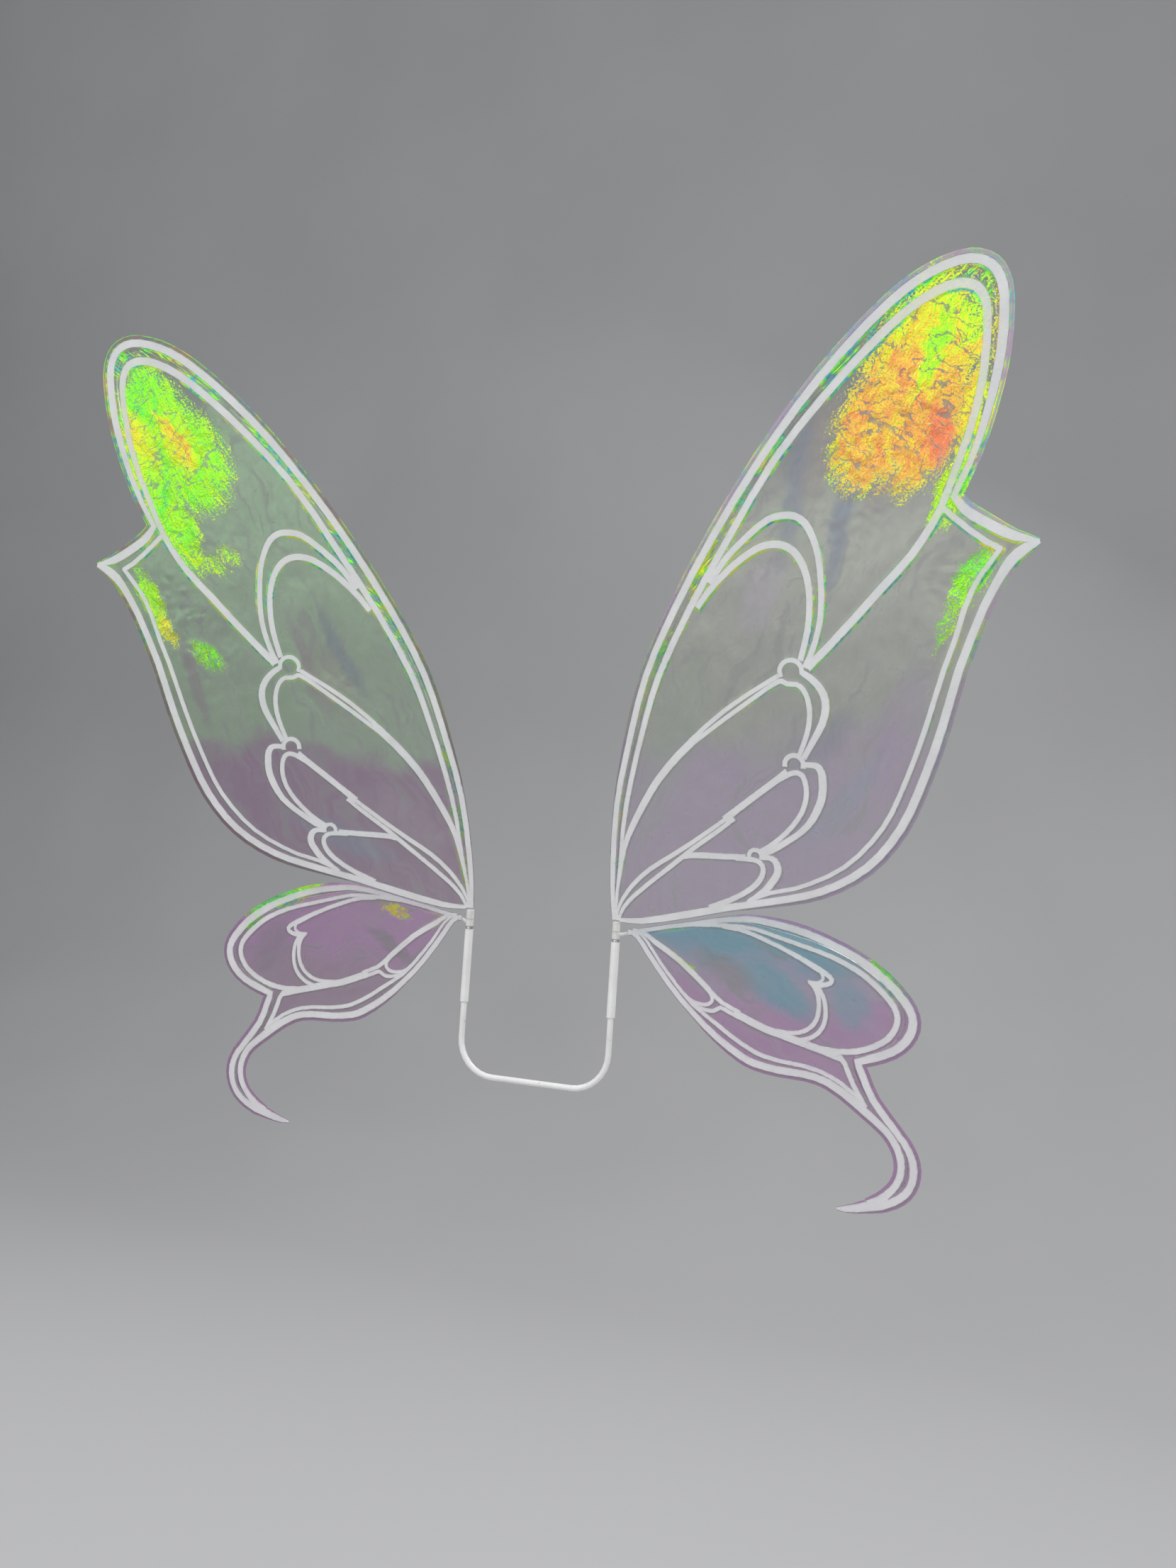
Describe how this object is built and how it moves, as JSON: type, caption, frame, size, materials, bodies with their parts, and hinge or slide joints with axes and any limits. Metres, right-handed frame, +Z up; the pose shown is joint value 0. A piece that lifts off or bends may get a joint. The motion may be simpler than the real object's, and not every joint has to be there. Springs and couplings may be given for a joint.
{
  "type": "costume fairy wings",
  "caption": "Wearable fairy wings: clear iridescent film over a white cut-out vein sheet, plugged on posts into a U-shaped wire frame that tucks into a bodice.",
  "frame": {"origin": "middle of the bottom bar of the U-shaped base frame, on the bar's centreline", "axes": "+Z up; +X to the wearer's right hand seen from behind; -Y away from the wearer's back, the way the wings lean"},
  "size_m": [0.743, 0.2095, 0.6561],
  "materials": {
    "iridescent_film": "clear iridescent cellophane, glossy and slightly crinkled",
    "white_vein_sheet": "off-white card-like plastic with a faint brushed grain",
    "spring_wire": "drawn wire",
    "white_coated_rod": "satin white coating",
    "white_binding_tape": "wound binding tape"
  },
  "bodies": {
    "frame": {"base_frame": "white_coated_rod", "left_socket": "white_coated_rod", "right_socket": "white_coated_rod"},
    "left_pin": {"left_post": "spring_wire"},
    "left_upper_wing": {"left_upper_knuckle": "white_binding_tape", "left_upper_front_film": "iridescent_film", "left_upper_rear_film": "iridescent_film", "left_upper_veins": "white_vein_sheet", "left_upper_wire": "spring_wire"},
    "left_lower_wing": {"left_lower_knuckle": "white_binding_tape", "left_lower_front_film": "iridescent_film", "left_lower_rear_film": "iridescent_film", "left_lower_veins": "white_vein_sheet", "left_lower_wire": "spring_wire"},
    "right_pin": {"right_post": "spring_wire"},
    "right_upper_wing": {"right_upper_knuckle": "white_binding_tape", "right_upper_front_film": "iridescent_film", "right_upper_rear_film": "iridescent_film", "right_upper_veins": "white_vein_sheet", "right_upper_wire": "spring_wire"},
    "right_lower_wing": {"right_lower_knuckle": "white_binding_tape", "right_lower_front_film": "iridescent_film", "right_lower_rear_film": "iridescent_film", "right_lower_veins": "white_vein_sheet", "right_lower_wire": "spring_wire"}
  },
  "joints": [
    {"name": "left_post_slide", "type": "slide", "parent": "frame", "child": "left_pin", "axis": [0, 0, 1], "range_m": [0, 0.04]},
    {"name": "left_upper_hinge", "type": "hinge", "parent": "left_pin", "child": "left_upper_wing", "pos_m": [-0.065, 0, 0.129], "axis": [0, 0, 1], "range_deg": [-20, 60]},
    {"name": "left_lower_hinge", "type": "hinge", "parent": "left_pin", "child": "left_lower_wing", "pos_m": [-0.065, 0, 0.129], "axis": [0, 0, 1], "range_deg": [-20, 60]},
    {"name": "right_post_slide", "type": "slide", "parent": "frame", "child": "right_pin", "axis": [0, 0, 1], "range_m": [0, 0.04]},
    {"name": "right_upper_hinge", "type": "hinge", "parent": "right_pin", "child": "right_upper_wing", "pos_m": [0.065, 0, 0.129], "axis": [0, 0, -1], "range_deg": [-20, 60]},
    {"name": "right_lower_hinge", "type": "hinge", "parent": "right_pin", "child": "right_lower_wing", "pos_m": [0.065, 0, 0.129], "axis": [0, 0, -1], "range_deg": [-20, 60]}
  ]
}
